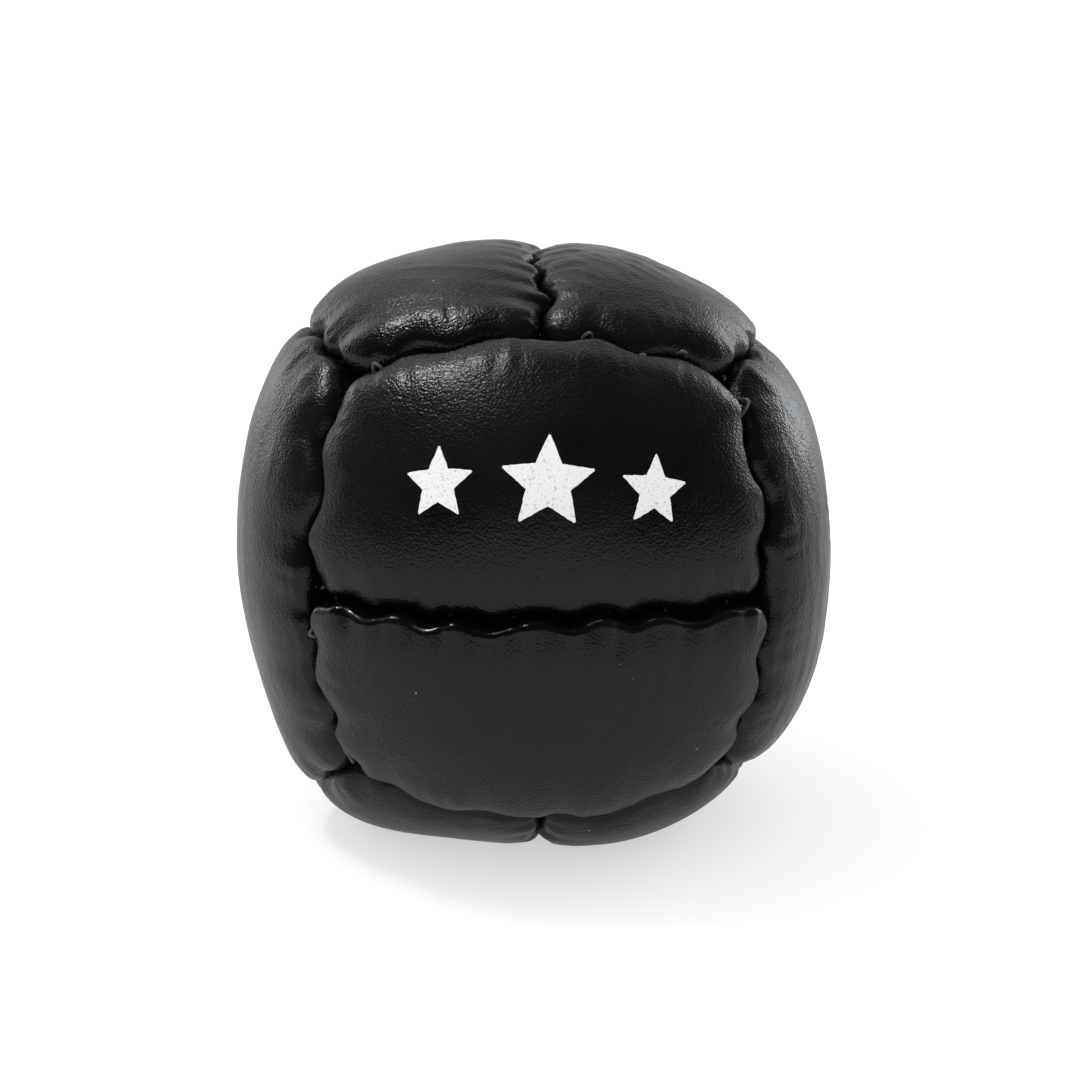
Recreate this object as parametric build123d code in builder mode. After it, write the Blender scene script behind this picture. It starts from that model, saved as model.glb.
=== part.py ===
"""A twelve-panel juggling ball: leather panels sewn edge to edge round a filling of millet.

Units are millimetres, +Z is up. The origin is the middle of the flat that the ball rests on.
The panels follow the faces of a cube blown up into a ball. Each face is two panels, twice as
long as they are wide, and the seam between them runs along X on the front and back, along Y on
the top and bottom and along Z on the left and right.

All panels but the two at the base are alike, and so are the threads of each kind of seam, so
each is made once, as the upper panel of the front face round a ball centred on the origin, and
then turned into its places.
"""

from math import cos, radians, sin
import os

from build123d import *

# Ball
ball_radius = 30.5  # from the middle of the ball to the middle of a face
face_radius = 36.0  # a face is flatter than the ball, so the ball is slightly square
base_sink = 2.6  # how far the soft ball flattens where it rests
base_blend = 8.0  # the flat turns up into the side over this radius

# Leather panels
leather = 1.0  # thickness
seam_gap = 0.3  # between the two seam allowances
allowance_radius = 24.6  # the turned-in edges reach this close to the middle
corner_radius = 3.5  # seen from outside
lip_radius = 1.6  # where a panel rolls over into the seam

# Sewing
thread_diameter = 0.5
needle_hole = 0.9
stitch_radius = 25.6  # the stitch line, from the middle of the ball
middle_pitch = 6.63  # degrees between the stitches of a middle seam, about 3 mm
middle_stitches = 11
edge_pitch = 6.4  # degrees between the stitches of an edge seam
edge_first = 9.6  # degrees from the T junction to the stitch beside it
edge_stitches = 4  # on each side of the T junction
thread_bend = 0.5  # radius where the thread turns into a needle hole
thread_tail = 2.4  # degrees past the last stitch
thread_play = 0.05

# Millet filling
filling_play = 0.15
filling_radius = 24.3  # inside the turned-in edges
core_turn = (17, 23, 31)  # degrees, so that the core sphere's own poles and seam miss the seams

centre_height = ball_radius - base_sink
centre = Vector(0, 0, centre_height)
half_gap = seam_gap / 2
thread_reach = half_gap + leather + thread_play + thread_diameter / 2

# The pattern panel: its outward direction, and along and across the middle seam of its face.
OUT, ALONG, ACROSS = Vector(0, -1, 0), Vector(1, 0, 0), Vector(0, 0, 1)

# The seams round the pattern panel: the direction of the seam's middle, the direction it runs
# in, and the direction square to it, into the panel.
MIDDLE_SEAM = (OUT, ALONG, ACROSS)
LONG_SEAM = (OUT + ACROSS, ALONG, OUT - ACROSS)
SHORT_SEAMS = [(OUT + ALONG, ACROSS, OUT - ALONG), (OUT - ALONG, ACROSS, OUT + ALONG)]

# Each face: its outward direction, the direction across its middle seam, and the words for the
# panels on the positive and the negative side of that seam.
FACES = {
    "front": (Vector(0, -1, 0), Vector(0, 0, 1), "upper", "lower"),
    "back": (Vector(0, 1, 0), Vector(0, 0, 1), "upper", "lower"),
    "left": (Vector(-1, 0, 0), Vector(0, 1, 0), "back", "front"),
    "right": (Vector(1, 0, 0), Vector(0, 1, 0), "back", "front"),
    "top": (Vector(0, 0, 1), Vector(1, 0, 0), "right", "left"),
    "bottom": (Vector(0, 0, -1), Vector(1, 0, 0), "right", "left"),
}
FACE_ORDER = list(FACES)


def place(out, across):
    """Where the pattern goes for the panel that faces out and lies across its middle seam."""
    return Location(Plane(origin=centre, x_dir=(-out).cross(across), z_dir=across))


def panel_block(on_base, side_inset, top_inset, inner_radius):
    """The solid wedge of the pattern panel, set in from its sides and its outer face."""
    corner = corner_radius - side_inset
    lip = lip_radius - top_inset
    normals = [into for _, _, into in [MIDDLE_SEAM, LONG_SEAM] + SHORT_SEAMS]
    planes = [Plane(origin=n.normalized() * (half_gap + side_inset), z_dir=n) for n in normals]

    def radial_share(edge):
        middle = edge.position_at(0.5)
        return abs(middle.normalized().dot(edge.tangent_at(0.5)))

    def on_the_rim(edge):
        middle = edge.position_at(0.5)
        off_side = min(abs(plane.to_local_coords(middle).Z) for plane in planes)
        outer = middle.length > inner_radius + top_inset
        return outer and off_side < corner / 2 and radial_share(edge) < 0.5

    # The outer sphere is turned so that its own pole and seam lie just outside the panel.
    face_centre = -OUT * (face_radius - ball_radius)
    with BuildPart() as block:
        with Locations(Plane(origin=face_centre, x_dir=-ACROSS, z_dir=OUT)):
            Sphere(face_radius - top_inset)
        Sphere(inner_radius, mode=Mode.SUBTRACT)
        for plane in planes:
            split(bisect_by=plane)
        if on_base:
            split(bisect_by=Plane(origin=OUT * (centre_height - top_inset), z_dir=-OUT))
            flat = block.faces().sort_by(Axis.Y)[0]
            fillet(flat.edges().filter_by(GeomType.CIRCLE), base_blend - top_inset)
        radial_lines = block.edges().filter_by(GeomType.LINE)
        fillet(radial_lines.filter_by(lambda line: radial_share(line) > 0.9), corner)
        fillet(block.edges().filter_by(on_the_rim), lip)
    return block.part


def stitch_point(seam, angle, side=0.0):
    """A point on a seam's stitch line, or beside it by side millimetres."""
    middle, along, into = seam
    arm = middle.normalized() * cos(radians(angle)) + along * sin(radians(angle))
    return arm * stitch_radius + into.normalized() * side


def make_panel_pattern(on_base):
    """A leather panel: a skin with its edges turned in, pierced by the needle holes."""
    skin = panel_block(on_base, 0, 0, allowance_radius)
    hollow = panel_block(on_base, leather, leather, allowance_radius - leather)
    stitches = [(MIDDLE_SEAM, angle) for angle in middle_angles]
    stitches += [(LONG_SEAM, angle) for angle in edge_angles]
    stitches += [(seam, angle) for seam in SHORT_SEAMS for angle in edge_angles if angle > 0]
    holes = [Plane(stitch_point(seam, angle), z_dir=seam[2]) for seam, angle in stitches]
    with BuildPart() as panel:
        add(skin)
        add(hollow, mode=Mode.SUBTRACT)
        with Locations(*[Location(hole) for hole in holes]):
            Cylinder(needle_hole / 2, 3 * thread_reach, mode=Mode.SUBTRACT)
    return panel.part


def make_thread_pattern(seam, angles):
    """A thread that passes from side to side through both seam allowances."""
    side = thread_reach
    points = [stitch_point(seam, angles[0] - thread_tail, side)]
    for angle in angles:
        points += [stitch_point(seam, angle, side), stitch_point(seam, angle, -side)]
        side = -side
    points.append(stitch_point(seam, angles[-1] + thread_tail, side))
    with BuildPart() as thread:
        with BuildLine() as route:
            FilletPolyline(*points, radius=thread_bend)
        with BuildSketch(Plane(origin=route.line @ 0, z_dir=route.line % 0)):
            Circle(thread_diameter / 2)
        sweep()
    return thread.part


def make_filling():
    """The millet, which fills the ball right up into every panel."""
    side = leather + thread_diameter + 2 * filling_play + thread_play
    top = leather + filling_play
    plugs = {
        base: panel_block(base, side, top, filling_radius - leather) for base in (False, True)
    }
    copies = [
        place(out, direction) * plugs[face == "bottom"]
        for face, (out, across, _, _) in FACES.items()
        for direction in (across, -across)
    ]
    with BuildPart() as millet:
        with Locations(Location(centre, core_turn)):
            Sphere(filling_radius)
        add(copies)
    millet.part.label = "millet_filling"
    return millet.part


def write_piece(name, pattern, out, across):
    """One copy of a pattern in its place, as a sub-part of its own."""
    with BuildPart() as piece:
        with Locations(place(out, across)):
            add(pattern)
    piece.part.label = name
    export_step(piece.part, f"parts/{name}.step")


os.makedirs("parts", exist_ok=True)

middle_angles = [middle_pitch * (i - (middle_stitches - 1) / 2) for i in range(middle_stitches)]
edge_half = [edge_first + edge_pitch * i for i in range(edge_stitches)]
edge_angles = [-angle for angle in reversed(edge_half)] + edge_half

panel_patterns = {base: make_panel_pattern(base) for base in (False, True)}
middle_thread = make_thread_pattern(MIDDLE_SEAM, middle_angles)
edge_thread = make_thread_pattern(LONG_SEAM, edge_angles)

for face, (out, across, plus, minus) in FACES.items():
    write_piece(f"{face}_middle_seam_thread", middle_thread, out, across)
    for word, direction in ((plus, across), (minus, -across)):
        pattern = panel_patterns[face == "bottom"]
        write_piece(f"{face}_{word}_panel", pattern, out, direction)
        other = next(name for name in FACES if (FACES[name][0] - direction).length < 0.01)
        pair = sorted((face, other), key=FACE_ORDER.index)
        write_piece("_".join(pair) + "_seam_thread", edge_thread, out, direction)

export_step(make_filling(), "parts/millet_filling.step")
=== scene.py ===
"""Looks for the twelve-panel juggling ball: sewn leather panels, seam threads, a printed mark
and the millet inside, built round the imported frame. Lengths are in millimetres until a mesh is
made, and in metres, as Blender and the frame have them, from there on."""

import math

import bpy
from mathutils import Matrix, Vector
from mathutils.bvhtree import BVHTree
from mathutils.interpolate import poly_3d_calc
import numpy as np


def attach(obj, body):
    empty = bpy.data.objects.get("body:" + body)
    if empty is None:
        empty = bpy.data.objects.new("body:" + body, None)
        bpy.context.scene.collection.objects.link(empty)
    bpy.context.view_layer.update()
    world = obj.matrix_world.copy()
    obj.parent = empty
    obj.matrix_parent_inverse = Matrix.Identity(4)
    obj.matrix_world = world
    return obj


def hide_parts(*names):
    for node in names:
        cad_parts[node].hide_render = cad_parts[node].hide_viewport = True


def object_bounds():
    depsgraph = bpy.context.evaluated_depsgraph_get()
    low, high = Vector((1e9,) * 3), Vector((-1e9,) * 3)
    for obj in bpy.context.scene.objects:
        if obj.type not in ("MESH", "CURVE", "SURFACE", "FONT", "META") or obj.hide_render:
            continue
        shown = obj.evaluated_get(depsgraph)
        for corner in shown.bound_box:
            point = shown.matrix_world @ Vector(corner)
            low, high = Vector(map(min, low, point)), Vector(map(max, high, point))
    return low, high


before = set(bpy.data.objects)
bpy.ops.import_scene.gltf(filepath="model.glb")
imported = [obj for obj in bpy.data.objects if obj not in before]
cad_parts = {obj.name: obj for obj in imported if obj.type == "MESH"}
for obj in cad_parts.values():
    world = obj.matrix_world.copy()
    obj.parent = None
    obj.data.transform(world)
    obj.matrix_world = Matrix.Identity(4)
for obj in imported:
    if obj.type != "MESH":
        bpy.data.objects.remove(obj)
CAD_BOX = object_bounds()

MM = 0.001
low, high = (np.array(corner) / MM for corner in CAD_BOX)
BALL = (high[0] - low[0]) / 2  # the ball's radius at the middle of a face
CENTRE = np.array((0.0, 0.0, high[2] - BALL))

# The ball's shape
FACE = 36.0  # radius of a face, flatter than the ball
FACE_BLEND = 12.0  # how sharply one face turns into the next
FLOOR_BLEND = 1.2  # how softly the flat base turns up
# Where the millet has settled: a direction, how far the ball stands out there, and how wide
# that is in degrees
LOBES = (
    ((-0.68, -0.10, 0.73), 1.9, 20),
    ((-0.69, -0.25, -0.70), 2.2, 17),
    ((-0.50, -0.30, -0.80), 1.1, 14),
    ((-0.90, -0.10, -0.45), -0.5, 10),
    ((0.38, 0.15, 0.90), -1.0, 17),
    ((0.08, -0.45, -0.89), 0.9, 18),
    ((1.0, -0.05, 0.02), -1.9, 26),
    ((0.2, 0.2, 0.97), 0.4, 20),
)
PUFF = 1.25  # how much lower a panel lies at its edge than in its middle
PUFF_REACH = 4.2
LUMPS = ((0.35, 13.0), (0.10, 4.5))  # heights and widths of the leather's soft unevenness
SHOULDER_AT, SHOULDER_WIDTH = 3.0, 1.4  # the ridge that runs beside a seam
T_CORNER, CUBE_CORNER = 2.7, 4.6  # radii of a panel's corners, beside a T junction and not
SHARP_CORNER = 0.7  # and of the corners of its turned-in edge
HALF_GAP = 0.05  # from the middle of a seam to the leather
FLANGE = 2.6  # depth of the turned-in edge under the lip
LEATHER = 0.9
FLOOR_CLEAR = 0.02  # the leather's lowest point above the floor

# The sewing
MIDDLE_WAVE = 6.35  # length of a seam's wave in the middle of a face, two stitches
EDGE_WAVES = (6.4, 8.6)  # and the shortest and longest along the cube's edges
MIDDLE_HEIGHTS, EDGE_HEIGHTS = (0.28, 0.42), (0.42, 0.62)  # lowest and highest of the waves
MIDDLE_PULL, EDGE_PULL = 0.32, 0.55  # how deep a stitch pulls the leather in
BEND = 0.22  # how far a seam strays slowly to either side
BEND_LENGTH, WOBBLE_LENGTH = 26.0, 17.0
STILL_END, STILL_FADE = 2.5, 3.5  # a seam runs straight this close to its ends and T junction
WAVE_REACH = 2.3  # how far from a seam its waves move the leather
PUCKER_REACH = 1.9
RIPPLE_HEIGHT, RIPPLE_WIDTH, RIPPLE_REACH = 0.16, 1.3, 2.2  # fine uneven gathers by a seam

# Mesh
LONG_CUTS, SHORT_CUTS = 150, 62
FLANGE_RINGS, LIP_RINGS = 6, 8
LIP_BLUR = 12  # points over which one lip's radius turns into the next
ARC_POINTS, SIDE_POINTS = 12, 200  # of the outline's rounded corners and straight stretches
RING_STEP = 0.3
STRETCH_REACH = 1.8  # how far from a seam the leather's grain is pulled smooth
RIM_WIDTH = 2.5  # width of the band of rings round a panel, less than any corner's radius

ROOT = "root"


def unit(v):
    v = np.asarray(v, float)
    return v / np.linalg.norm(v, axis=-1, keepdims=True)


def lattice_noise(points, scale, seed):
    """Smooth random values from -1 to 1 at points, with features about scale millimetres wide."""
    p = points / scale + 1000.0
    cell = np.floor(p).astype(np.int64)
    f = p - cell
    f = f * f * f * (f * (f * 6 - 15) + 10)
    total = np.zeros(len(points))
    for corner in np.ndindex(2, 2, 2):
        # Mixes the corner's place and the seed into a number from 0 to 65535
        x, y, z = (cell + corner).T
        h = (x * 73856093) ^ (y * 19349663) ^ (z * 83492791) ^ (seed * 2654435761)
        h = ((h ^ (h >> 13)) * 1274126177) & 0xFFFFFFFF
        h = (h ^ (h >> 16)) & 0xFFFF
        weight = np.prod(np.where(corner, f, 1 - f), axis=1)
        total += weight * (h / 32767.5 - 1)
    return total


def smooth_step(x):
    x = np.clip(x, 0, 1)
    return x * x * (3 - 2 * x)


# ---- the ball's own surface ----

FACES = {
    "front": ((0, -1, 0), (0, 0, 1), "upper", "lower"),
    "back": ((0, 1, 0), (0, 0, 1), "upper", "lower"),
    "left": ((-1, 0, 0), (0, 1, 0), "back", "front"),
    "right": ((1, 0, 0), (0, 1, 0), "back", "front"),
    "top": ((0, 0, 1), (1, 0, 0), "right", "left"),
    "bottom": ((0, 0, -1), (1, 0, 0), "right", "left"),
}
FACE_ORDER = list(FACES)
OUTWARD = np.array([face[0] for face in FACES.values()], float)


def face_radius_along(d):
    """Distance from the ball's middle to its slightly square surface, along unit vectors d."""
    sink = FACE - BALL
    off = d @ OUTWARD.T
    reach = -sink * off + np.sqrt(FACE**2 - sink**2 * (1 - off**2))
    weight = np.exp(FACE_BLEND * off)
    radius = (reach * weight).sum(1) / weight.sum(1)
    for toward, height, width in LOBES:
        away = np.degrees(np.arccos(np.clip(d @ unit(toward), -1, 1)))
        radius += height * np.exp(-((away / width) ** 2))
    return radius


def floor_radius_along(d):
    down = np.maximum(-d[:, 2], 1e-3)
    return CENTRE[2] / down


def soft_min(a, b, width):
    """The smaller of a and b, rounded where they meet."""
    h = np.clip(0.5 + 0.5 * (b - a) / width, 0, 1)
    return b * (1 - h) + a * h - width * h * (1 - h)


# How far the sewn seams lie from an even cube's, in degrees: about X by the angle above the
# front, and about Z by the angle to the side of the front.
UP_TURNS = ((-45, -1.0, 24), (0, -1.3, 24), (47, 5.4, 20))
SIDE_TURNS = ((-45, 0.2, 24), (45, -1.1, 24))


def warped(d):
    """Unit vectors d moved to where the seams of this ball really lie."""
    d = d.copy()
    for (one, two), turns in (((1, 2), UP_TURNS), ((1, 0), SIDE_TURNS)):
        angle = np.degrees(np.arctan2(d[:, two], -d[:, one]))
        length = np.hypot(d[:, one], d[:, two])
        for at, turn, reach in turns:
            near = np.abs((angle - at + 180) % 360 - 180) / (2 * reach)
            angle = angle + turn * np.cos(np.minimum(near, 1) * math.pi / 2) ** 2
        d[:, one] = -length * np.cos(np.radians(angle))
        d[:, two] = length * np.sin(np.radians(angle))
    return d


# ---- seams ----


class Seam:
    """One seam: where its middle is, which way it runs and how its stitches pull it about."""

    def __init__(self, name, middle, along, across, is_edge, seed):
        self.name = name
        self.middle, self.along, self.across = unit(middle), unit(along), unit(across)
        self.is_edge = is_edge
        self.half = BALL * (math.atan(math.sqrt(0.5)) if is_edge else math.pi / 4)
        rng = np.random.default_rng(seed)
        self.seed = seed
        self.period = rng.uniform(*EDGE_WAVES) if is_edge else MIDDLE_WAVE
        self.height = rng.uniform(*(EDGE_HEIGHTS if is_edge else MIDDLE_HEIGHTS))
        self.phase = rng.uniform(0, 2 * math.pi)
        self.pull = EDGE_PULL if is_edge else MIDDLE_PULL
        self.bend = BEND
        self.drift = rng.uniform(0, 2 * math.pi, 2)
        self.loops = []  # places where the thread shows, in millimetres along the seam
        self.tail = 0  # which end of the seam has a loose end of thread: -1, 1, or 0 for none

    def position(self, d):
        """Millimetres along the seam from its middle."""
        return BALL * np.arctan2(d @ self.along, d @ self.middle)

    def turn(self, x):
        """Phase of the seam's wave at x, in radians."""
        wobble = 0.5 * np.sin(2 * math.pi * x / WOBBLE_LENGTH + self.drift[0])
        return 2 * math.pi * x / self.period + self.phase + wobble

    def still(self, x):
        """1 along the seam and 0 at its ends and at its T junction."""
        held = smooth_step((self.half - STILL_END - np.abs(x)) / STILL_FADE)
        if self.is_edge:
            held = held * smooth_step((np.abs(x) - STILL_END) / STILL_FADE)
        return held

    def wave(self, x):
        """Sideways shift of the seam, in millimetres along across."""
        slow = self.bend * np.sin(2 * math.pi * x / BEND_LENGTH + self.drift[1])
        return self.still(x) * (self.height * np.sin(self.turn(x)) + slow)

    def dip(self, x, side):
        """How deep the stitches pull the leather in at x, on side 1 or -1 of the seam. Along a
        cube's edge each stitch pulls on one side only."""
        if self.is_edge:
            return self.pull * (0.5 + 0.5 * side * np.sin(self.turn(x))) ** 2
        return self.pull * (0.5 + 0.5 * np.cos(2 * self.turn(x))) ** 2


def seam_name(face, direction):
    """Name of the seam between a face and the one that looks in direction."""
    other = next(f for f in FACES if np.allclose(FACES[f][0], direction))
    return "_".join(sorted((face, other), key=FACE_ORDER.index)) + "_seam_thread"


def all_seams():
    made = {}
    for i, (face, (out, across, _, _)) in enumerate(FACES.items()):
        out, across = np.array(out, float), np.array(across, float)
        along = np.abs(np.cross(across, out))
        name = face + "_middle_seam_thread"
        made[name] = Seam(name, out, along, across, False, 11 + i)
        for side in (1, -1):
            name = seam_name(face, across * side)
            seed = 40 + 2 * i + (side > 0)
            made[name] = Seam(
                name, out + across * side, along, out - across * side, True, seed
            )
    # What sets this ball's seams apart from one another
    front = made["front_middle_seam_thread"]
    front.phase, front.height = math.pi / 2 + 2 * math.pi * 0.8 / front.period, 0.38
    top = made["top_middle_seam_thread"]
    top.bend, top.height, top.drift[1] = 0.85, 0.5, 2.6 + math.pi
    left, right = made["front_left_seam_thread"], made["front_right_seam_thread"]
    left.height, left.pull, left.loops, left.tail = 0.78, 0.85, [-3.4], -1
    right.height, right.pull, right.loops = 0.72, 0.75, [16.0]
    made["front_top_seam_thread"].loops = [-15.5, 4.6, 9.6, 13.9]
    made["back_top_seam_thread"].loops = [-7.0, 11.5]
    made["back_right_seam_thread"].tail = 1
    return made


SEAMS = all_seams()


# ---- panels ----

# Fine creases in the leather: which way they run, how far apart and how long they are, how
# high, the direction of the middle of the patch and its reach in millimetres
CREASES = {
    "right_front_panel": (((0.10, -0.15, 1.0), 1.25, 10, 0.11, (0.93, -0.30, -0.10), 22),),
    "right_back_panel": (((0.0, 0.2, 1.0), 1.5, 9, 0.09, (0.9, 0.35, -0.1), 20),),
    "left_front_panel": (((0.0, 0.1, 1.0), 2.1, 9, 0.07, (-0.9, -0.3, 0.2), 20),),
    "top_right_panel": (((0.62, -0.62, -0.2), 1.5, 6, 0.17, (0.14, -0.22, 0.96), 9),
                        ((0.9, 0.2, -0.3), 1.9, 8, 0.08, (0.4, 0.1, 0.9), 16)),
    "top_left_panel": (((-0.8, 0.3, 0.0), 2.3, 7, 0.08, (-0.3, -0.1, 0.95), 15),),
    "front_upper_panel": (((0.9, 0.0, 0.3), 2.2, 9, 0.05, (0.3, -0.9, 0.1), 16),),
    "front_lower_panel": (((0.25, 0.0, 1.0), 1.7, 5, 0.16, (0.27, -0.95, -0.09), 7),
                          ((-0.1, 0.0, 1.0), 2.4, 8, 0.05, (-0.1, -0.9, -0.3), 18)),
    "back_upper_panel": (((0.3, 0.2, 1.0), 1.8, 7, 0.10, (0.2, 0.9, 0.5), 13),),
    "back_lower_panel": (((0.9, 0.0, 0.3), 1.9, 8, 0.08, (-0.3, 0.9, -0.2), 15),),
}


def crease_height(p, creases, seed):
    """Height of a panel's fine creases at points p."""
    total = np.zeros(len(p))
    for run, apart, length, height, toward, reach in creases:
        run = unit(run)
        side = unit(np.cross(run, (0.31, 0.77, 0.55)))
        third = np.cross(run, side)
        stretched = np.stack([p @ side / apart, p @ third / apart, p @ run / length], 1)
        away = np.linalg.norm(p - unit(toward) * BALL, axis=1) / reach
        folds = 1 - 2 * np.abs(lattice_noise(stretched, 1.0, seed))
        total += height * folds * np.exp(-(away**2))
    return total


class Panel:
    """One leather panel, half a face: its four seams, the lips that roll in at them, and its mesh.
    Its sides are counted from the seam in the middle of the face, round the panel."""

    def __init__(self, face, word, out, across, seed):
        self.name = f"{face}_{word}_panel"
        self.seed = seed
        out, across = np.array(out, float), np.array(across, float)
        along = np.cross(-out, across)
        self.toward = out + across
        self.sides = [
            (SEAMS[face + "_middle_seam_thread"], unit(across)),
            (SEAMS[seam_name(face, along)], unit(out - along)),
            (SEAMS[seam_name(face, across)], unit(out - across)),
            (SEAMS[seam_name(face, -along)], unit(out + along)),
        ]
        self.lips = [1.3, 1.4, 1.5, 1.4]  # radii
        self.puffs = [PUFF] * 4
        self.shoulders = [0.08] * 4
        self.stretch = [0.3] * 4  # how far the grain is pulled smooth at each seam
        self.corners = [T_CORNER, CUBE_CORNER, CUBE_CORNER, T_CORNER]

    def depth_inside(self, d):
        """How far inside the panel unit vectors d lie, from its nearest seam. Below 0 outside."""
        return np.min([BALL * np.arcsin(np.clip(d @ into, -1, 1)) for _, into in self.sides], 0)

    def corner_centre(self, one, two, radius):
        """The middle of the rounded corner between two sides."""
        a, b = self.sides[one][1], self.sides[two][1]
        ridge = unit(np.cross(a, b))
        if ridge @ self.toward < 0:
            ridge = -ridge
        s = math.sin(radius / BALL)
        flat = (a + b) * s / (1 + a @ b)
        return flat + ridge * math.sqrt(1 - flat @ flat)

    def outline(self, long_cuts, short_cuts, corners):
        """Unit vectors round the panel's edge, with the way inwards at each and the side each is
        on. Side by side, each from the middle of one rounded corner to the middle of the next."""
        cuts = [long_cuts, short_cuts, long_cuts, short_cuts]
        places, inwards, sides = [], [], []
        for i in range(4):
            normal = self.sides[i][1]
            before = self.corner_centre((i - 1) % 4, i, corners[i - 1])
            after = self.corner_centre(i, (i + 1) % 4, corners[i])
            fine = []
            for centre, other, radius, first in (
                (before, self.sides[i - 1][1], corners[i - 1], True),
                (after, self.sides[(i + 1) % 4][1], corners[i], False),
            ):
                foot = unit(centre - normal * (centre @ normal))
                other_foot = unit(centre - other * (centre @ other))
                middle = unit(foot + other_foot)
                arc = [unit(foot * (1 - t) + middle * t) for t in np.linspace(0, 1, ARC_POINTS)]
                arc = [self.on_corner(centre, p, radius) for p in arc]
                fine.append(arc[::-1] if first else arc)
            start, end = fine[0][-1], fine[1][0]
            shares = np.linspace(0, 1, SIDE_POINTS)[1:-1]
            line = [unit(start * (1 - t) + end * t) for t in shares]
            path = np.array(fine[0] + line + fine[1])
            steps = np.r_[0, np.cumsum(np.linalg.norm(np.diff(path, axis=0), axis=1))]
            at = np.linspace(0, steps[-1], cuts[i] + 1)[:-1]
            points = unit(np.stack([np.interp(at, steps, path[:, k]) for k in range(3)], 1))
            into = np.repeat(normal[None], len(points), 0)
            for centre, edge in ((before, fine[0][-1]), (after, fine[1][0])):
                near = (points - edge) @ unit(edge - (start + end) / 2) > 1e-9
                toward = centre - points * (points @ centre)[:, None]
                into = np.where(near[:, None], unit(toward), into)
            into = unit(into - points * (points * into).sum(1, keepdims=True))
            places.append(points)
            inwards.append(into)
            sides.append(np.full(len(points), i))
        return np.concatenate(places), np.concatenate(inwards), np.concatenate(sides)

    @staticmethod
    def on_corner(centre, p, radius):
        """The point of the rounded corner in the direction of p from its middle."""
        aside = unit(p - centre * (p @ centre))
        a = radius / BALL
        return centre * math.cos(a) + aside * math.sin(a)

    def shift(self, d):
        """Moves unit vectors sideways with the waves of the seams near them."""
        moved = d.copy()
        for seam, into in self.sides:
            far = BALL * np.arcsin(np.clip(d @ into, -1, 1))
            fade = np.exp(-((np.maximum(far, 0) / WAVE_REACH) ** 2))
            moved += (seam.wave(seam.position(d)) * fade / BALL)[:, None] * seam.across
        return unit(moved)

    def placed(self, d, depth=0.0):
        """Points of the leather for unit vectors d of the even ball."""
        real = warped(d)
        return real * (self.surface(d, real) - depth)[:, None]

    def surface(self, d, real):
        """Height of the puffed leather along unit vectors d, before its edge rolls in. real is
        where those lie on this ball."""
        r = face_radius_along(real)
        drop, pucker = 0.0, 0.0
        for (seam, into), puff, shoulder in zip(self.sides, self.puffs, self.shoulders):
            far = np.maximum(BALL * np.arcsin(np.clip(d @ into, -1, 1)), 0)
            x = seam.position(d)
            drop = drop + puff * np.exp(-far / PUFF_REACH)
            inside = (np.abs(x) < seam.half + 1).astype(float)
            side = np.sign(into @ seam.across)
            pucker = pucker + seam.dip(x, side) * np.exp(-far / PUCKER_REACH) * inside
            drop = drop - shoulder * np.exp(-(((far - SHOULDER_AT) / SHOULDER_WIDTH) ** 2)) * inside
            beside = np.stack([x, far * 0.25, x * 0], 1)
            ripple = lattice_noise(beside, RIPPLE_WIDTH, seam.seed + 7)
            pucker = pucker + RIPPLE_HEIGHT * ripple * np.exp(-far / RIPPLE_REACH) * inside
        p = real * BALL
        lumps = sum(
            height * lattice_noise(p, width, self.seed + k)
            for k, (height, width) in enumerate(LUMPS)
        )
        r = r - drop + lumps + crease_height(p, CREASES.get(self.name, ()), self.seed + 2)
        r = soft_min(r, floor_radius_along(real), FLOOR_BLEND)
        return r - pucker

    def mesh_arrays(self, coarse=1):
        """Points and faces of the panel's outer skin, from its turned-in edge to its middle, how
        many of the first points are sewn down, and how stretched the leather is at each."""
        n, m = LONG_CUTS // coarse, SHORT_CUTS // coarse
        edge, into, side = self.outline(n, m, self.corners)
        sharp_edge, sharp_into, _ = self.outline(n, m, [SHARP_CORNER] * 4)
        lip = np.array([self.lips[i] for i in side])
        half = LIP_BLUR // coarse
        kernel = np.ones(2 * half + 1) / (2 * half + 1)
        lip = np.convolve(np.r_[lip[-half:], lip, lip[:half]], kernel, "valid")
        # Each ring of points: how far in from the seam, how deep, and how sharp its corners are,
        # because the turned-in edges of three panels close up on each other below the surface
        rings = []
        for t in np.linspace(1, 0, 1 + FLANGE_RINGS // coarse):
            rings.append((HALF_GAP + 0 * lip, lip + FLANGE * t, smooth_step(2 * t)))
        for turn in np.radians(np.linspace(0, 90, 1 + LIP_RINGS // coarse))[1:]:
            inset = HALF_GAP + lip * (1 - math.cos(turn))
            rings.append((inset, lip * (1 - math.sin(turn)), 0.0))
        sewn = (len(rings) - 1) * len(edge)
        outer = HALF_GAP + lip
        count = max(2, int(round((RIM_WIDTH - outer.mean()) / RING_STEP / coarse)))
        for k in range(1, count + 1):
            rings.append((outer + (RIM_WIDTH - outer) * k / count, 0 * lip, 0.0))
        points = []
        for inset, depth, sharp in rings:
            a = (inset / BALL)[:, None]
            ring = edge * np.cos(a) + into * np.sin(a)
            sharp_ring = sharp_edge * np.cos(a) + sharp_into * np.sin(a)
            ring = self.shift(unit(ring * (1 - sharp) + sharp_ring * sharp))
            points.append(self.placed(ring, depth))
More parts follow.
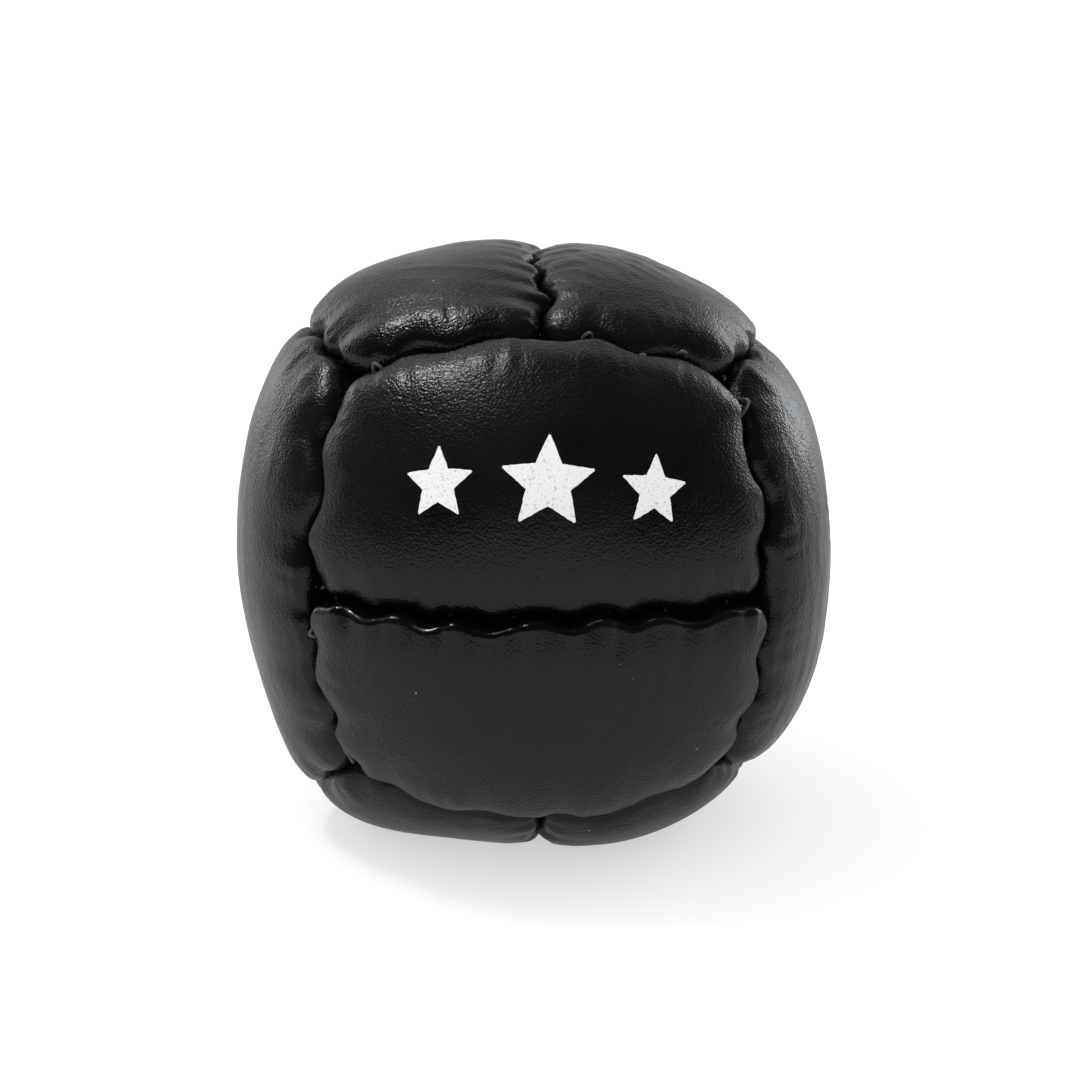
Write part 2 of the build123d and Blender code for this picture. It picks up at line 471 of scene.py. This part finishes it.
        # The middle is a grid of points between the four sides of the last ring
        round_count = len(edge)
        bottom = ring[: n + 1]
        right = ring[n : n + m + 1]
        top = ring[n + m : 2 * n + m + 1][::-1]
        left = np.r_[ring[2 * n + m :], ring[:1]][::-1]
        u = np.linspace(0, 1, n + 1)[:, None, None]
        v = np.linspace(0, 1, m + 1)[None, :, None]
        grid = (
            bottom[:, None] * (1 - v)
            + top[:, None] * v
            + left[None] * (1 - u)
            + right[None] * u
            - (
                bottom[0] * (1 - u) * (1 - v)
                + bottom[-1] * u * (1 - v)
                + top[0] * (1 - u) * v
                + top[-1] * u * v
            )
        )
        inner = unit(grid[1:-1, 1:-1].reshape(-1, 3))
        points.append(self.placed(inner))
        ids = np.zeros((n + 1, m + 1), int)
        base = (len(rings) - 1) * round_count
        ids[:, 0] = base + np.arange(n + 1)
        ids[-1, :] = base + n + np.arange(m + 1)
        ids[:, -1] = base + (n + m + np.arange(n + 1))[::-1]
        ids[0, :] = base + np.r_[2 * n + m + np.arange(m), 0][::-1]
        middle = np.arange((n - 1) * (m - 1)).reshape(n - 1, m - 1)
        ids[1:-1, 1:-1] = len(rings) * round_count + middle
        quads = np.stack([ids[:-1, :-1], ids[1:, :-1], ids[1:, 1:], ids[:-1, 1:]], -1)
        quads = quads.reshape(-1, 4)
        k = np.arange(round_count)
        after = (k + 1) % round_count
        bands = [
            np.stack([k, after, after + round_count, k + round_count], 1) + j * round_count
            for j in range(len(rings) - 1)
        ]
        points = np.concatenate(points) + CENTRE
        points[:, 2] = np.maximum(points[:, 2], FLOOR_CLEAR)
        stretched = np.zeros(len(points))
        pulled = np.array([self.stretch[i] for i in side])
        for j, (inset, _, _) in enumerate(rings):
            tight = smooth_step((STRETCH_REACH - inset) / STRETCH_REACH)
            stretched[j * round_count : (j + 1) * round_count] = pulled * tight
        return points, np.concatenate([*bands, quads]), sewn, stretched


def new_object(name, points, faces):
    """A smooth mesh object from points in millimetres."""
    mesh = bpy.data.meshes.new(name)
    mesh.from_pydata((np.asarray(points) * MM).tolist(), [], [list(f) for f in faces])
    mesh.validate()
    mesh.shade_smooth()
    made = bpy.data.objects.new(name, mesh)
    bpy.context.scene.collection.objects.link(made)
    return made


def all_panels():
    made, seed = [], 100  # seeds from 101 on, clear of the seams'
    for face, (out, across, plus, minus) in FACES.items():
        for word, sign in ((plus, 1), (minus, -1)):
            seed += 1
            panel = Panel(face, word, out, np.array(across) * sign, seed)
            # What sets this ball's panels apart from one another
            if panel.name == "front_lower_panel":
                panel.lips[0], panel.puffs[0], panel.stretch[0] = 0.75, 0.15, 1.0
            if panel.name == "front_upper_panel":
                panel.lips[0], panel.puffs[0] = 1.75, 1.5
                panel.shoulders[2] = 0.30
            if panel.name == "top_left_panel":
                panel.shoulders[3] = 0.45
            if panel.name == "top_right_panel":
                panel.shoulders[1] = 0.25
            made.append(panel)
    return made


PANEL_SHAPES = all_panels()

# The cloth simulation runs on a coarse copy of each panel, blown up so that Blender's cloth
# forces suit it
CLOTH_COARSE = 2
CLOTH_SCALE = 60.0
CLOTH_FRAMES = 20
CLOTH_PRESSURE = 4.0
CLOTH_SPARE = -0.16  # shrink factor beside the seams: below 0 the leather has some to spare
CLOTH_SPARE_REACH = 5.0
CLOTH_LIMIT = 0.7  # the most that a point may move
CLOTH_QUALITY, CLOTH_STIFFNESS, CLOTH_BENDING = 6, 25, 1.2


def start_cloth(panel):
    """A coarse copy of a panel, sewn down round its edge, as Blender cloth."""
    points, faces, sewn, _ = panel.mesh_arrays(CLOTH_COARSE)
    made = new_object(panel.name + "_cloth", points * CLOTH_SCALE, faces)
    pins = made.vertex_groups.new(name="sewn")
    pins.add(list(range(sewn)), 1.0, "REPLACE")
    spare = made.vertex_groups.new(name="spare")
    far = np.maximum(panel.depth_inside(unit(points - CENTRE)), 0)
    for i, w in enumerate(np.exp(-far / CLOTH_SPARE_REACH)):
        spare.add([i], float(w), "REPLACE")
    cloth = made.modifiers.new("cloth", "CLOTH")
    cloth.settings.quality = CLOTH_QUALITY
    cloth.settings.vertex_group_mass = "sewn"
    cloth.settings.vertex_group_shrink = "spare"
    cloth.settings.shrink_min, cloth.settings.shrink_max = 0.0, CLOTH_SPARE
    cloth.settings.use_pressure = True
    cloth.settings.uniform_pressure_force = CLOTH_PRESSURE
    cloth.settings.effector_weights.gravity = 0
    cloth.settings.tension_stiffness = CLOTH_STIFFNESS
    cloth.settings.compression_stiffness = CLOTH_STIFFNESS
    cloth.settings.bending_stiffness = CLOTH_BENDING
    cloth.collision_settings.use_collision = False
    cloth.point_cache.frame_start, cloth.point_cache.frame_end = 1, CLOTH_FRAMES
    return made, points, faces


def simulated_moves():
    """How far the cloth simulation moves the coarse panels: name -> points, faces, moves."""
    scene = bpy.context.scene
    started = {panel.name: start_cloth(panel) for panel in PANEL_SHAPES}
    for number in range(1, CLOTH_FRAMES + 1):
        scene.frame_set(number)
    graph = bpy.context.evaluated_depsgraph_get()
    result = {}
    for name, (made, points, faces) in started.items():
        mesh = made.evaluated_get(graph).to_mesh()
        flat = np.empty(len(points) * 3)
        mesh.vertices.foreach_get("co", flat)
        moves = flat.reshape(-1, 3) / (CLOTH_SCALE * MM) - points
        length = np.linalg.norm(moves, axis=1, keepdims=True)
        result[name] = (points, faces, moves / (1 + length / CLOTH_LIMIT))
    for made, _, _ in started.values():
        data = made.data
        bpy.data.objects.remove(made)
        bpy.data.meshes.remove(data)
    scene.frame_set(1)
    return result


def carried(coarse, faces, moves, fine):
    """The moves of a coarse mesh, at the points of a finer one."""
    tree = BVHTree.FromPolygons(coarse.tolist(), faces.tolist())
    corners = [Vector(p) for p in coarse]
    out = np.zeros_like(fine)
    for i, p in enumerate(fine):
        spot, _, face, _ = tree.find_nearest(p)
        ids = faces[face]
        out[i] = np.array(poly_3d_calc([corners[k] for k in ids], spot)) @ moves[ids]
    return out


def make_panels():
    simulated = simulated_moves()
    panels = {}
    for panel in PANEL_SHAPES:
        points, faces, _, stretched = panel.mesh_arrays()
        if simulated:
            points = points + carried(*simulated[panel.name], points)
            points[:, 2] = np.maximum(points[:, 2], FLOOR_CLEAR)
        made = new_object(panel.name + "_leather", points, faces)
        made.data.attributes.new("stretched", "FLOAT", "POINT").data.foreach_set("value", stretched)
        shell = made.modifiers.new("thickness", "SOLIDIFY")
        shell.thickness, shell.offset = LEATHER * MM, -1
        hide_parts(panel.name)
        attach(made, ROOT)
        panels[panel.name] = (panel, made)
    return panels


PANELS = make_panels()


def sphere_directions(cuts):
    """Unit vectors over a sphere and its quads, as a cube blown up."""
    points, faces, ids = [], [], {}
    for out, across, _, _ in FACES.values():
        out, across = np.array(out, float), np.array(across, float)
        along = np.cross(across, out)
        grid = np.empty((cuts + 1, cuts + 1), int)
        for i in range(cuts + 1):
            for j in range(cuts + 1):
                a, b = (math.tan(math.pi / 4 * (2 * k / cuts - 1)) for k in (i, j))
                p = out + along * a + across * b
                key = tuple(np.round(p, 6))
                if key not in ids:
                    ids[key] = len(points)
                    points.append(p)
                grid[i, j] = ids[key]
        for i in range(cuts):
            for j in range(cuts):
                faces.append([grid[i, j], grid[i + 1, j], grid[i + 1, j + 1], grid[i, j + 1]])
    return unit(np.array(points)), faces


GRAIN = 2.0  # a millet grain's width
GRAIN_RISE, GRAIN_ROUND, GRAIN_SHAKE = 0.7, 0.55, 0.35  # a bump's height, breadth and disorder
FILLING_CUTS = 110
FILLING_GAP = 1.6  # from the leather's inner side to the grains
SEAM_ROOM = 2.6  # more room under the turned-in edges
SEAM_ROOM_REACH, SEAM_ROOM_FADE = 3.6, 1.6  # how far from a seam it ends, and how softly


def grain_height(points, seed):
    """Rounded bumps as big as millet grains."""
    p = points / GRAIN + 1000.0
    cell = np.floor(p)
    nearest = np.full(len(p), 9.0)
    for step in np.ndindex(3, 3, 3):
        home = cell + np.array(step) - 1
        shake = np.stack([lattice_noise(home * 7.31, 1.7, seed + k) for k in range(3)], 1)
        away = np.sum((home + 0.5 + GRAIN_SHAKE * shake - p) ** 2, 1)
        nearest = np.minimum(nearest, away)
    return GRAIN_RISE * np.sqrt(np.maximum(GRAIN_ROUND - nearest, 0))


def make_filling():
    """The millet, which stops short of the leather and of its turned-in edges."""
    d, faces = sphere_directions(FILLING_CUTS)
    real = warped(d)
    radius = np.full(len(d), 1e9)
    for panel, _ in PANELS.values():
        far = panel.depth_inside(d)
        near = smooth_step((SEAM_ROOM_REACH - far) / SEAM_ROOM_FADE)
        deep = LEATHER + FILLING_GAP + (FLANGE + SEAM_ROOM) * near
        inside = panel.surface(d, real) - deep
        radius = np.where(far >= -1e-9, np.minimum(radius, inside), radius)
    radius = radius + grain_height(real * radius[:, None], 900)
    made = new_object("millet_grains", real * radius[:, None] + CENTRE, faces)
    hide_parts("millet_filling")
    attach(made, ROOT)
    return made


FILLING = make_filling()


# ---- threads ----

THREAD = 0.16  # a thread's radius
THREAD_DEPTH = 3.6  # how deep below the ball's surface the stitches lie
THREAD_STEP = 0.16
THREAD_SIDES = 10
PLY_LENGTH = 0.95  # length over which the thread's two plies turn once
STITCH_REACH = 1.25  # how far a stitch goes to either side of the seam
STITCH_DIVE = 0.7  # how much deeper it lies out there
LOOP_RISE, LOOP_REACH = 2.75, 0.75  # how far a loop comes up, and half its length
LOOP_NARROW = 0.75  # how much narrower it is than a stitch
TAIL = 3.2  # length of a loose end
TAIL_DEPTH = 1.2  # how deep the tip of a loose end lies, at the least
THREAD_SHORT = 1.6  # how far before a seam's end its thread stops
THREAD_FLOOR = 0.6  # extra depth of a thread over the flat base


def thread_path(seam):
    """Points down the middle of one seam's thread, which zigzags through both turned-in edges."""
    end = seam.half - THREAD_SHORT
    x = np.arange(-end, end, THREAD_STEP)
    side = STITCH_REACH * np.sin(seam.turn(x))
    depth = THREAD_DEPTH + STITCH_DIVE * np.sin(seam.turn(x)) ** 2
    for place in seam.loops:
        near = np.exp(-(((x - place) / LOOP_REACH) ** 2))
        depth = depth - LOOP_RISE * near
        side = side * (1 - LOOP_NARROW * near)
    if seam.tail:
        loose = np.clip((seam.tail * x - end + TAIL) / TAIL, 0, 1) ** 2
        depth = depth - (THREAD_DEPTH - TAIL_DEPTH) * loose
        side = side * (1 - 0.5 * loose) + 0.8 * loose * np.sin(x * 1.9)
    a = (x / BALL)[:, None]
    d = seam.middle * np.cos(a) + seam.along * np.sin(a)
    d = unit(d + seam.across * ((side + seam.wave(x)) / BALL)[:, None])
    real = warped(d)
    radius = np.minimum(face_radius_along(real), floor_radius_along(real) - THREAD_FLOOR) - depth
    return real * radius[:, None] + CENTRE


def make_thread(seam):
    """A seam's thread, of two plies twisted together."""
    path = thread_path(seam)
    for _ in range(3):
        path[1:-1] = (path[:-2] + 2 * path[1:-1] + path[2:]) / 4
    ahead = unit(np.gradient(path, axis=0))
    out = unit(path - CENTRE)
    side = unit(np.cross(ahead, out))
    out = np.cross(side, ahead)
    steps = np.r_[0, np.cumsum(np.linalg.norm(np.diff(path, axis=0), axis=1))]
    around = np.arange(THREAD_SIDES) * 2 * math.pi / THREAD_SIDES
    twist = 2 * math.pi * steps[:, None] / PLY_LENGTH
    radius = THREAD * (1 + 0.16 * np.cos(2 * (around - twist)))[..., None]
    ring = side[:, None] * np.cos(around)[None, :, None]
    ring = ring + out[:, None] * np.sin(around)[None, :, None]
    points = (path[:, None] + ring * radius).reshape(-1, 3)
    points[:, 2] = np.maximum(points[:, 2], FLOOR_CLEAR)
    k = np.arange(THREAD_SIDES)
    after = (k + 1) % THREAD_SIDES
    faces = []
    for j in range(len(path) - 1):
        a, b = j * THREAD_SIDES, (j + 1) * THREAD_SIDES
        faces += np.stack([a + k, a + after, b + after, b + k], 1).tolist()
    last = (len(path) - 1) * THREAD_SIDES
    faces += [k[::-1].tolist(), (last + k).tolist()]
    made = new_object(seam.name.replace("_thread", "_stitches"), points, faces)
    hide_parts(seam.name)
    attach(made, ROOT)
    return made


THREADS = [make_thread(seam) for seam in SEAMS.values()]


# ---- the print ----

PRINT_PANEL = "front_upper_panel"
PRINT_UP, PRINT_SIDE, PRINT_TILT = 21.9, 0.7, -1.6  # degrees, millimetres and degrees
INK_PROUD, INK_SUNK = 0.045, 0.12
STARS = ((-9.7, 0.0, 3.5), (0.0, 0.1, 4.3), (9.7, 0.0, 3.5))  # across, up and radius
STAR_WAIST = 0.46  # a star's inner radius over its outer
STAR_POINTS, STAR_RINGS = 240, 22
TIP_CUT = 0.95  # where ink rounds off a star's tips
RAY = 60.0  # how far out the rays that place the ink start, and how far they go


def star_outline(radius, seed):
    """Points round a five-pointed star with slightly ragged ink edges."""
    turn = np.linspace(0, 2 * math.pi, STAR_POINTS, endpoint=False)
    part = (turn / (2 * math.pi) * 5) % 1
    share = np.abs(2 * part - 1)
    tip = np.array((0.0, 1.0))
    waist = STAR_WAIST * np.array((math.sin(math.pi / 5), math.cos(math.pi / 5)))
    side = waist[None] * (1 - share)[:, None] + tip[None] * share[:, None]
    straight = np.linalg.norm(side, axis=1)
    angle = math.atan2(waist[0], waist[1])
    lean = angle * (1 - share)
    spread = np.arctan2(waist[0] * (1 - share), waist[1] * (1 - share) + share)
    turn = turn + np.where(part < 0.5, spread - lean, lean - spread)
    edge = radius * np.minimum(straight, TIP_CUT)
    ragged = np.stack([edge * np.sin(turn), edge * np.cos(turn), 0 * turn], 1)
    edge = edge + 0.05 * lattice_noise(ragged, 0.35, seed)
    return np.stack([edge * np.sin(turn), edge * np.cos(turn)], 1)


def make_print():
    """Three stars of thick white ink on the front, pressed onto the leather's grain."""
    target = PANELS[PRINT_PANEL][1]
    skin = [tuple(v.co / MM) for v in target.data.vertices]
    tree = BVHTree.FromPolygons(skin, [tuple(f.vertices) for f in target.data.polygons])
    up, tilt = math.radians(PRINT_UP), math.radians(PRINT_TILT)
    middle = BALL * np.array((0, -math.cos(up), math.sin(up)))
    right, over = np.array((1.0, 0, 0)), np.array((0, math.sin(up), math.cos(up)))
    points, faces = [], []
    for number, (across, above, radius) in enumerate(STARS):
        outline = star_outline(radius, 700 + number)
        flat = [(outline * t, INK_PROUD) for t in np.linspace(1, 0.04, STAR_RINGS)]
        flat = [(outline * 1.012, -INK_SUNK)] + flat
        start = len(points)
        for ring, lift in flat:
            for x, y in ring + np.array((across, above)):
                a = x * math.cos(tilt) - y * math.sin(tilt)
                b = x * math.sin(tilt) + y * math.cos(tilt)
                way = unit(middle + right * (a + PRINT_SIDE) + over * b)
                spot = tree.ray_cast(Vector(CENTRE + way * RAY), Vector(-way), RAY)[0]
                points.append(np.array(spot) + way * lift)
        count = len(outline)
        k = np.arange(count)
        after = (k + 1) % count
        for j in range(len(flat) - 1):
            a = start + j * count
            faces += np.stack([a + k, a + count + k, a + count + after, a + after], 1).tolist()
        faces.append((start + (len(flat) - 1) * count + k[::-1]).tolist())
    made = new_object("star_print", points, faces)
    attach(made, ROOT)
    return made


PRINT = make_print()


# ---- materials ----


class Nodes:
    """A node material and short ways to add and join its nodes."""

    def __init__(self, name):
        self.material = bpy.data.materials.new(name)
        self.material.use_nodes = True
        self.tree = self.material.node_tree
        self.shader = self.tree.nodes["Principled BSDF"]
        self.place = self.add("TexCoord").outputs["Object"]

    def add(self, kind, **settings):
        node = self.tree.nodes.new("ShaderNode" + kind)
        for key, value in settings.items():
            setattr(node, key, value)
        return node

    def join(self, source, target):
        self.tree.links.new(source, target)

    def stretched(self, scale):
        """The place on the object, scaled by three factors."""
        node = self.add("Mapping")
        node.inputs["Scale"].default_value = scale
        self.join(self.place, node.inputs["Vector"])
        return node.outputs["Vector"]

    def noise(self, scale, detail=2.0, rough=0.5, vector=None):
        node = self.add("TexNoise")
        node.inputs["Scale"].default_value = scale
        node.inputs["Detail"].default_value = detail
        node.inputs["Roughness"].default_value = rough
        self.join(vector or self.place, node.inputs["Vector"])
        return node.outputs["Fac"]

    def cells(self, scale, feature="F1"):
        node = self.add("TexVoronoi", feature=feature)
        node.inputs["Scale"].default_value = scale
        self.join(self.place, node.inputs["Vector"])
        return node.outputs["Distance"]

    def mapped(self, value, low, high, to_low, to_high):
        node = self.add("MapRange")
        ends = {"From Min": low, "From Max": high, "To Min": to_low, "To Max": to_high}
        for key, number in ends.items():
            node.inputs[key].default_value = number
        self.join(value, node.inputs["Value"])
        return node.outputs["Result"]

    def math(self, operation, a, b):
        node = self.add("Math", operation=operation)
        for socket, value in zip(node.inputs, (a, b)):
            if isinstance(value, (int, float)):
                socket.default_value = value
            else:
                self.join(value, socket)
        return node.outputs[0]

    def blend(self, share, first, second):
        node = self.add("Mix", data_type="RGBA")
        self.join(share, node.inputs[0])
        for socket, colour in ((node.inputs[6], first), (node.inputs[7], second)):
            if isinstance(colour, tuple):
                socket.default_value = (*colour, 1)
            else:
                self.join(colour, socket)
        return node.outputs[2]

    def bump(self, layers):
        """Adds bumps one on another, each a height, a strength and a depth in millimetres."""
        normal = None
        for height, strength, depth in layers:
            node = self.add("Bump")
            node.inputs["Strength"].default_value = strength
            node.inputs["Distance"].default_value = depth * MM
            self.join(height, node.inputs["Height"])
            if normal:
                self.join(normal, node.inputs["Normal"])
            normal = node.outputs["Normal"]
        self.join(normal, self.shader.inputs["Normal"])


def leather_material():
    """Black satin leather: pebbled grain, fine lines, worn patches and a few specks of dust."""
    m = Nodes("black_leather")
    patches = m.mapped(m.noise(90, 3), 0.35, 0.65, 0, 1)
    colour = m.blend(patches, (0.0011, 0.0011, 0.0013), (0.0024, 0.0024, 0.0027))
    speck = m.mapped(m.cells(300), 0.022, 0.034, 1, 0)
    some = m.mapped(m.noise(150, 1), 0.50, 0.56, 0, 0.6)
    colour = m.blend(m.math("MULTIPLY", speck, some), colour, (0.5, 0.5, 0.5))
    m.join(colour, m.shader.inputs["Base Color"])
    grain = m.noise(700, 3, 0.6)
    tight = m.add("Attribute", attribute_name="stretched").outputs["Fac"]
    worn = m.math("ADD", m.math("MULTIPLY", grain, 0.5), m.math("MULTIPLY", patches, 0.5))
    satin = m.mapped(worn, 0.2, 0.8, 0.24, 0.36)
    m.join(m.math("SUBTRACT", satin, m.math("MULTIPLY", tight, 0.10)), m.shader.inputs["Roughness"])
    loose = m.mapped(tight, 0, 1, 1, 0.15)
    m.shader.inputs["Specular IOR Level"].default_value = 0.34
    pebbles = m.math("MULTIPLY", m.cells(4300, "SMOOTH_F1"), m.math("MULTIPLY", loose, -1.0))
    lines = m.math("ABSOLUTE", m.math("SUBTRACT", m.noise(420, 4, 0.6), 0.5), 0)
    lines = m.math("MULTIPLY", lines, loose)
    m.bump(((m.noise(260, 2), 0.20, 0.28), (lines, 0.35, 0.20), (pebbles, 0.60, 0.085)))
    return m.material


def thread_material():
    """Dark waxed thread."""
    m = Nodes("waxed_thread")
    fibres = m.noise(3500, 3, 0.6, m.stretched((1.0, 1.0, 0.35)))
    colour = m.blend(fibres, (0.018, 0.018, 0.019), (0.11, 0.107, 0.10))
    m.join(colour, m.shader.inputs["Base Color"])
    m.join(m.mapped(fibres, 0, 1, 0.22, 0.45), m.shader.inputs["Roughness"])
    m.bump(((fibres, 0.5, 0.05),))
    return m.material


def millet_material():
    """Pale yellow grains."""
    m = Nodes("millet_seed")
    shade = m.add("TexVoronoi")
    shade.inputs["Scale"].default_value = 520
    m.join(m.place, shade.inputs["Vector"])
    tone = m.add("SeparateColor")
    m.join(shade.outputs["Color"], tone.inputs["Color"])
    colour = m.blend(tone.outputs[0], (0.55, 0.36, 0.10), (0.78, 0.60, 0.26))
    m.join(colour, m.shader.inputs["Base Color"])
    m.join(m.mapped(m.noise(1500, 2), 0, 1, 0.35, 0.6), m.shader.inputs["Roughness"])
    m.bump(((shade.outputs["Distance"], 0.4, 0.3),))
    return m.material


def ink_material():
    """White screen-printing ink, thin over the tops of the grain."""
    m = Nodes("white_ink")
    thin = m.mapped(m.noise(4200, 3, 0.6), 0.56, 0.70, 0, 0.55)
    colour = m.blend(thin, (0.70, 0.70, 0.70), (0.09, 0.09, 0.09))
    m.join(colour, m.shader.inputs["Base Color"])
    m.join(m.mapped(m.noise(1800, 2), 0, 1, 0.45, 0.7), m.shader.inputs["Roughness"])
    pebbles = m.math("MULTIPLY", m.cells(2700, "SMOOTH_F1"), -1.0)
    m.bump(((pebbles, 0.5, 0.08),))
    return m.material


for material, pieces in (
    (leather_material(), [made for _, made in PANELS.values()]),
    (thread_material(), THREADS),
    (millet_material(), [FILLING]),
    (ink_material(), [PRINT]),
):
    for piece in pieces:
        piece.data.materials.append(material)


# ---- camera, floor and light ----

VIEW_ELEVATION, VIEW_DISTANCE = 13.0, 6.2  # degrees, and in ball radii
BALL_SHARE = 0.561  # the ball's share of the picture's width
SENSOR = 36.0
FLOOR_HALF = 3.0
COOL_WHITE = (0.94, 0.97, 1.0)

# Name, place in metres, width, height and power in watts. All of them look at the ball's middle.
LIGHTS = (
    ("softbox", (-0.15, 0.00, 0.45), 0.26, 0.14, 0.38),
    ("key", (-0.20, 0.01, 0.43), 0.08, 0.045, 0.62),
    ("rear_right", (0.4, 0.35, 0.2), 0.2, 0.3, 0.6),
    ("rear_left", (-0.4, 0.35, 0.2), 0.2, 0.3, 0.3),
)


def make_camera():
    data = bpy.data.cameras.new("camera")
    made = bpy.data.objects.new("camera", data)
    bpy.context.scene.collection.objects.link(made)
    bpy.context.scene.camera = made
    e = math.radians(VIEW_ELEVATION)
    back = Vector((0, -math.cos(e), math.sin(e)))
    middle = Vector(CENTRE * MM)
    made.location = middle + back * BALL * VIEW_DISTANCE * MM
    made.rotation_euler = (-back).to_track_quat("-Z", "Y").to_euler()
    spread = 1 / math.sqrt(VIEW_DISTANCE**2 - 1)
    data.sensor_width = SENSOR
    data.lens = SENSOR / 2 / (spread / BALL_SHARE)
    data.clip_start, data.clip_end = 0.005, 20


def area_light(name, place, aim, width, height, power):
    data = bpy.data.lights.new(name, "AREA")
    data.shape, data.size, data.size_y, data.energy = "RECTANGLE", width, height, power
    data.color = COOL_WHITE
    made = bpy.data.objects.new(name, data)
    made.location = place
    made.rotation_euler = (aim - Vector(place)).to_track_quat("-Z", "Y").to_euler()
    bpy.context.scene.collection.objects.link(made)


def make_floor():
    """A pale floor, which shines a little so that it is as pale as the backdrop."""
    mesh = bpy.data.meshes.new("floor")
    s = FLOOR_HALF
    mesh.from_pydata([(-s, -s, 0), (s, -s, 0), (s, s, 0), (-s, s, 0)], [], [(0, 1, 2, 3)])
    floor = bpy.data.objects.new("floor", mesh)
    bpy.context.scene.collection.objects.link(floor)
    floor_nodes = Nodes("pale_floor")
    rays = floor_nodes.add("LightPath")
    shade = floor_nodes.blend(rays.outputs["Is Glossy Ray"], (0.45, 0.45, 0.45), (0.28, 0.28, 0.29))
    floor_nodes.join(shade, floor_nodes.shader.inputs["Base Color"])
    floor_nodes.join(shade, floor_nodes.shader.inputs["Emission Color"])
    floor_nodes.shader.inputs["Emission Strength"].default_value = 1.25
    floor_nodes.shader.inputs["Roughness"].default_value = 0.9
    floor_nodes.shader.inputs["Specular IOR Level"].default_value = 0.0
    mesh.materials.append(floor_nodes.material)


def make_world():
    """White light from all round."""
    world = bpy.data.worlds.new("studio")
    bpy.context.scene.world = world
    world.use_nodes = True
    nt = world.node_tree
    nt.nodes.clear()
    out = nt.nodes.new("ShaderNodeOutputWorld")
    mix = nt.nodes.new("ShaderNodeMixShader")
    rays = nt.nodes.new("ShaderNodeLightPath")
    white, seen = (nt.nodes.new("ShaderNodeBackground") for _ in range(2))
    white.inputs["Color"].default_value = (1, 1, 1, 1)
    white.inputs["Strength"].default_value = 1.12
    seen.inputs["Color"].default_value = (*COOL_WHITE, 1)
    # What the leather mirrors: the pale backdrop behind the ball, and a dark room in front
    way = nt.nodes.new("ShaderNodeTexCoord")
    parts = nt.nodes.new("ShaderNodeSeparateXYZ")
    behind = nt.nodes.new("ShaderNodeMapRange")
    behind.interpolation_type = "SMOOTHSTEP"
    for key, value in (("From Min", -0.2), ("From Max", 0.75), ("To Min", 0.05), ("To Max", 0.75)):
        behind.inputs[key].default_value = value
    nt.links.new(way.outputs["Generated"], parts.inputs[0])
    nt.links.new(parts.outputs["Y"], behind.inputs["Value"])
    nt.links.new(behind.outputs["Result"], seen.inputs["Strength"])
    nt.links.new(rays.outputs["Is Glossy Ray"], mix.inputs[0])
    nt.links.new(white.outputs[0], mix.inputs[1])
    nt.links.new(seen.outputs[0], mix.inputs[2])
    nt.links.new(mix.outputs[0], out.inputs["Surface"])


make_camera()
make_floor()
make_world()
for light, place, width, height, power in LIGHTS:
    area_light(light, place, Vector(CENTRE * MM), width, height, power)
bpy.context.scene.view_settings.view_transform = "Standard"
